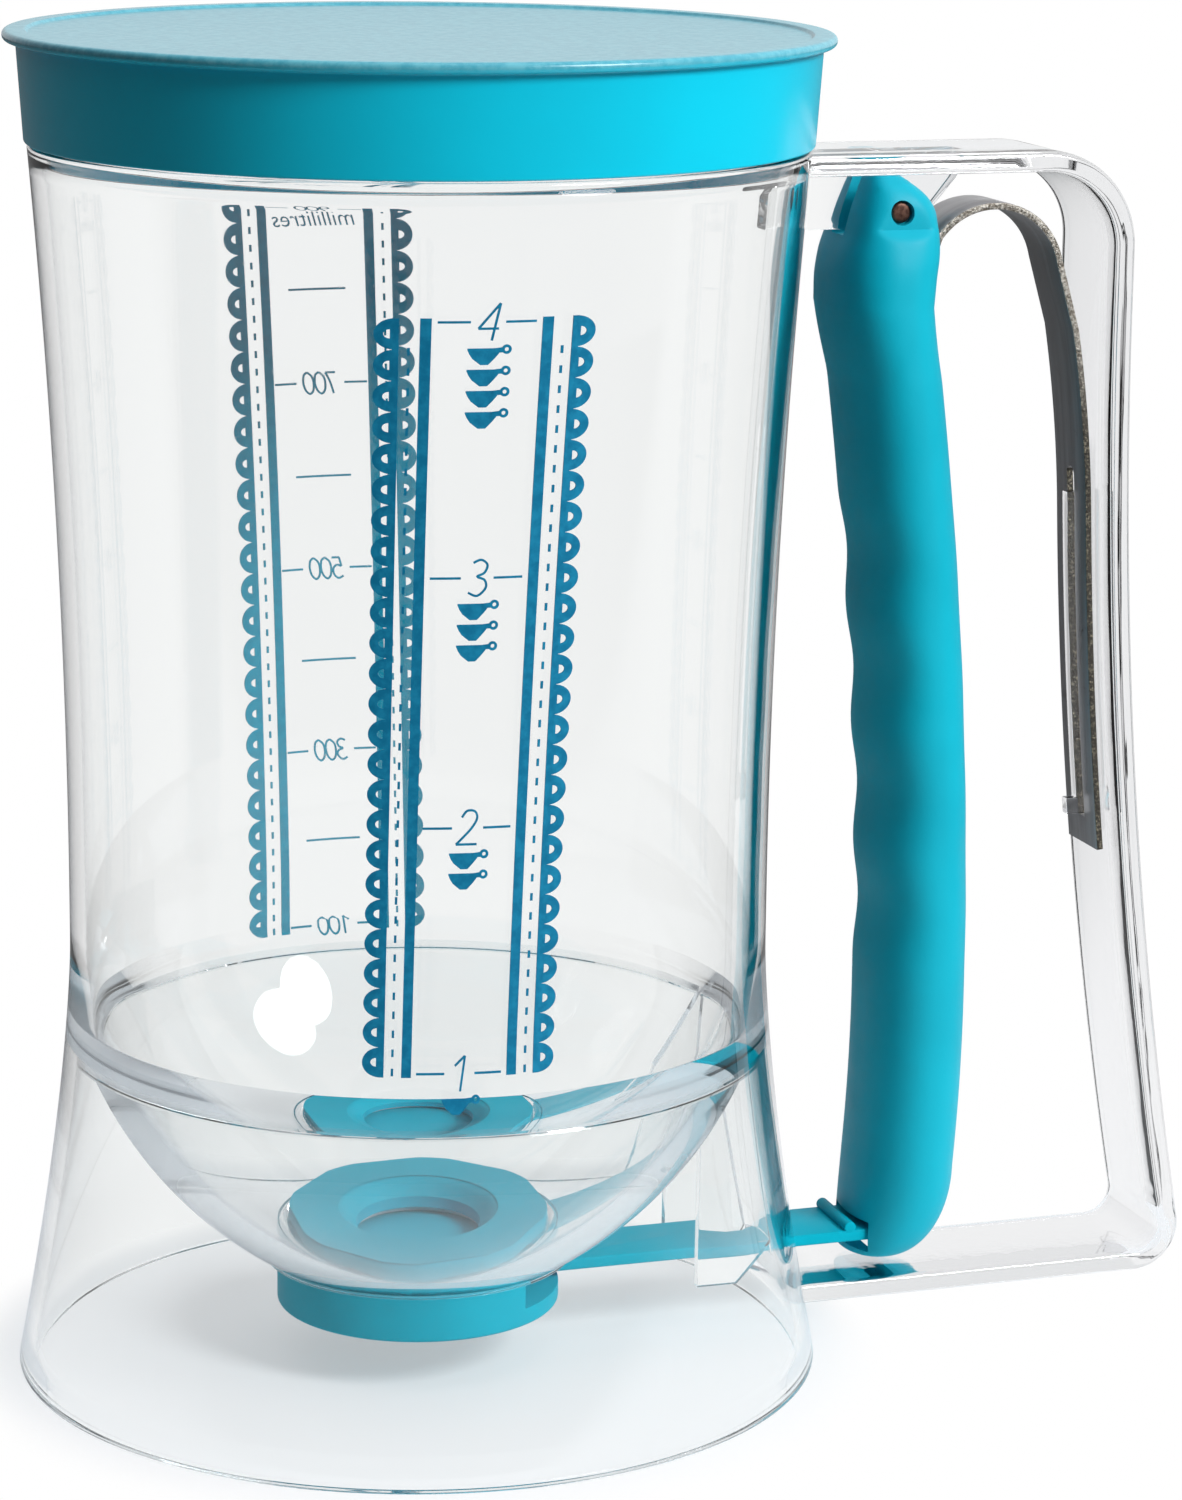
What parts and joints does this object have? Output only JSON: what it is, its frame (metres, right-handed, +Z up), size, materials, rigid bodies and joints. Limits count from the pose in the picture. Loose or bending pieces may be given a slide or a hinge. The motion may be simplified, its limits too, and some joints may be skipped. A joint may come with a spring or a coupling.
{
  "type": "batter dispenser",
  "caption": "Clear jug on a flared base with a funnel bowl, a trigger-pulled sliding gate under it, a hoop handle with a leaf spring, printed scales and a press-on lid.",
  "frame": {"origin": "on the table, at the jug's axis, which is the middle of the foot's inner step", "axes": "+Z up along the jug's axis, +X towards the handle, +Y completes a right-handed frame"},
  "size_m": [0.1735, 0.115, 0.1894],
  "materials": {
    "clear_plastic": "clear, polished, with slight flow waviness",
    "teal_plastic": "smooth, semi-gloss",
    "lid_plastic": "satin, soft polyethylene",
    "seal_rubber": "matt, translucent silicone",
    "pin_steel": "drawn, dull",
    "spring_steel": "rolled strip with bright cut edges",
    "print_ink": "screen printed"
  },
  "bodies": {
    "jug_body": {"jar": "clear_plastic", "base_skirt": "clear_plastic", "guide_left": "clear_plastic", "guide_right": "clear_plastic", "handle": "clear_plastic", "trigger_lug": "clear_plastic", "spring_keeper": "clear_plastic", "seat_ring": "teal_plastic", "gate_seal": "seal_rubber", "valve_body": "teal_plastic", "pivot_pin": "pin_steel", "leaf_spring": "spring_steel", "cup_scale_print": "print_ink", "ml_scale_print": "print_ink"},
    "trigger_body": {"trigger": "teal_plastic"},
    "gate_body": {"gate_slide": "teal_plastic"},
    "lid_body": {"lid": "lid_plastic"}
  },
  "joints": [
    {"name": "trigger_hinge", "type": "hinge", "parent": "jug_body", "child": "trigger_body", "pos_m": [0.0676, 0, 0.1637], "axis": [0, -1, 0], "range_deg": [0, 7.5], "stiffness_Nm_per_rad": 0.6, "deforming": ["leaf_spring"]},
    {"name": "gate_pull", "type": "slide", "parent": "jug_body", "child": "gate_body", "axis": [1, 0, 0], "range_m": [0, 0.0199]},
    {"name": "lid_lift", "type": "slide", "parent": "jug_body", "child": "lid_body", "axis": [0, 0, 1], "range_m": [0, 0.035]}
  ],
  "couplings": [
    {"joint": "gate_pull", "follows": "trigger_hinge", "m_per_rad": 0.15145}
  ]
}
